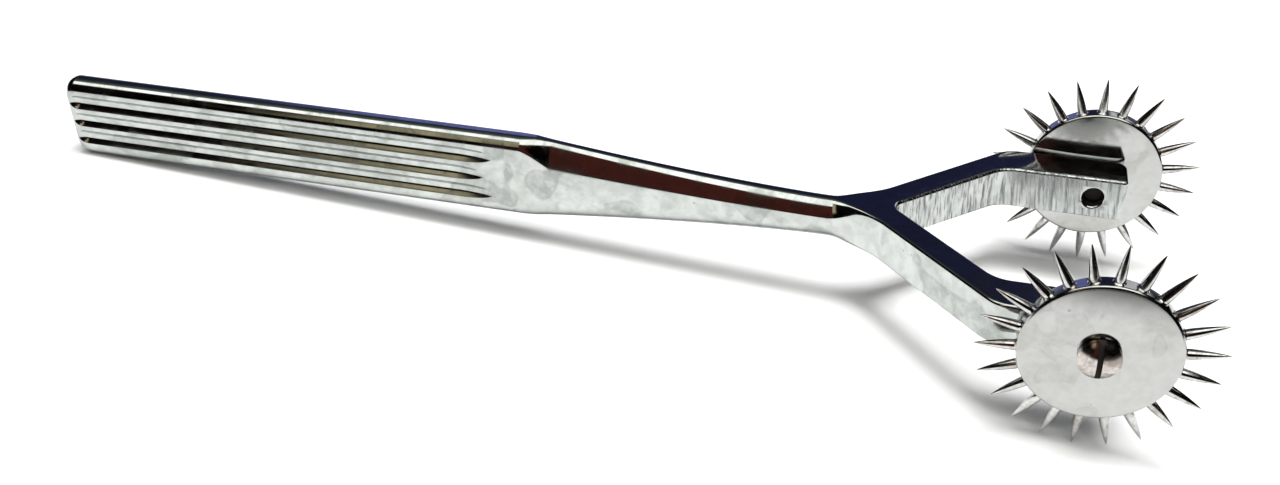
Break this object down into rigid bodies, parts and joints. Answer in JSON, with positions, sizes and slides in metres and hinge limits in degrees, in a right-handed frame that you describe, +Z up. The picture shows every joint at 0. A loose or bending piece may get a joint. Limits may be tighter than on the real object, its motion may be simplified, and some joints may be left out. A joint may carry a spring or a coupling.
{
  "type": "neurological pinwheel",
  "caption": "Double-headed neurological pinwheel: fluted flat handle that splits into a fork, with a free-turning wheel of sharp pins on the outer side of each fork end.",
  "frame": {"origin": "on the surface that the instrument lies on, under the middle of its bounding box", "axes": "+X along the handle from its end towards the wheels, +Y along the wheel axes towards the left wheel, +Z up; the handle rises 3 degrees towards the wheels, as it lies"},
  "size_m": [0.1905, 0.0578, 0.0328],
  "materials": {
    "handle_chrome": "polished chrome plate with water marks and fine scratches",
    "disc_chrome": "polished chrome plate with fine scratches",
    "pin_chrome": "bright polished chrome plate",
    "screw_steel": "bright turned steel, slightly duller in the slot"
  },
  "bodies": {
    "handle": {"handle_fork": "handle_chrome", "right_axle_screw": "screw_steel", "left_axle_screw": "screw_steel"},
    "right_wheel": {"right_disc": "disc_chrome", "right_pin_1": "pin_chrome", "right_pin_2": "pin_chrome", "right_pin_3": "pin_chrome", "right_pin_4": "pin_chrome", "right_pin_5": "pin_chrome", "right_pin_6": "pin_chrome", "right_pin_7": "pin_chrome", "right_pin_8": "pin_chrome", "right_pin_9": "pin_chrome", "right_pin_10": "pin_chrome", "right_pin_11": "pin_chrome", "right_pin_12": "pin_chrome", "right_pin_13": "pin_chrome", "right_pin_14": "pin_chrome", "right_pin_15": "pin_chrome", "right_pin_16": "pin_chrome", "right_pin_17": "pin_chrome", "right_pin_18": "pin_chrome", "right_pin_19": "pin_chrome", "right_pin_20": "pin_chrome", "right_pin_21": "pin_chrome", "right_pin_22": "pin_chrome"},
    "left_wheel": {"left_disc": "disc_chrome", "left_pin_1": "pin_chrome", "left_pin_2": "pin_chrome", "left_pin_3": "pin_chrome", "left_pin_4": "pin_chrome", "left_pin_5": "pin_chrome", "left_pin_6": "pin_chrome", "left_pin_7": "pin_chrome", "left_pin_8": "pin_chrome", "left_pin_9": "pin_chrome", "left_pin_10": "pin_chrome", "left_pin_11": "pin_chrome", "left_pin_12": "pin_chrome", "left_pin_13": "pin_chrome", "left_pin_14": "pin_chrome", "left_pin_15": "pin_chrome", "left_pin_16": "pin_chrome", "left_pin_17": "pin_chrome", "left_pin_18": "pin_chrome", "left_pin_19": "pin_chrome", "left_pin_20": "pin_chrome", "left_pin_21": "pin_chrome", "left_pin_22": "pin_chrome"}
  },
  "joints": [
    {"name": "right_wheel_spin", "type": "hinge", "parent": "handle", "child": "right_wheel", "pos_m": [0.07885, -0.02575, 0.0164], "axis": [0, 1, 0], "continuous": true},
    {"name": "left_wheel_spin", "type": "hinge", "parent": "handle", "child": "left_wheel", "pos_m": [0.07885, 0.02575, 0.0164], "axis": [0, 1, 0], "continuous": true}
  ]
}
